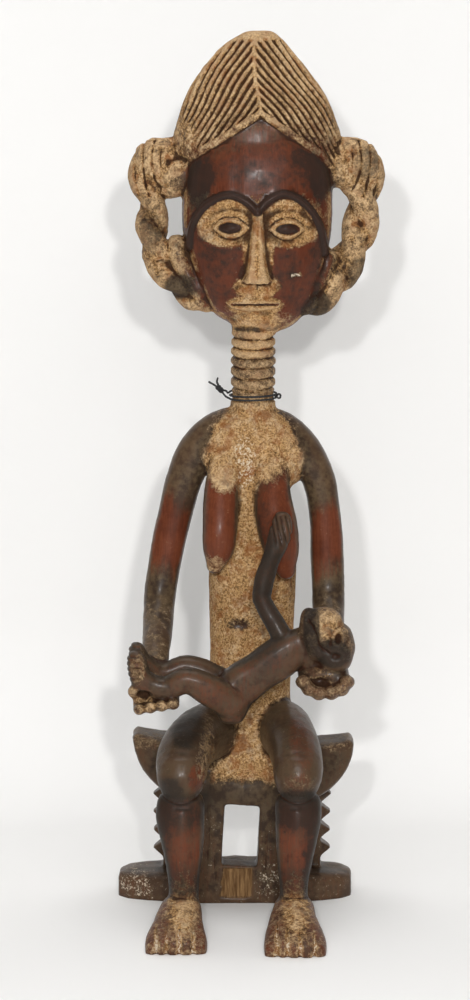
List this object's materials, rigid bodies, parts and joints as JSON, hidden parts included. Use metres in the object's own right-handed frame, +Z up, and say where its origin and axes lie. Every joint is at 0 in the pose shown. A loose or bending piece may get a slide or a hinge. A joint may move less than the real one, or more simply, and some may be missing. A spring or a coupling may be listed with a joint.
{
  "type": "mother and child figure",
  "caption": "Carved wooden figure of a seated mother with a child across her forearms, on a pierced stool with saw-toothed posts; a string is tied round her neck.",
  "frame": {"origin": "middle of the stool's underside, on the ground", "axes": "+Z up, the mother faces -Y, her left side towards +X"},
  "size_m": [0.1444, 0.152, 0.4715],
  "materials": {
    "dark_wood": "polished red-brown wood with blackish patina and tan clay crust",
    "black_string": "matt waxed string"
  },
  "bodies": {
    "root": {"carved_figure": "dark_wood", "neck_cord": "black_string"}
  },
  "joints": []
}
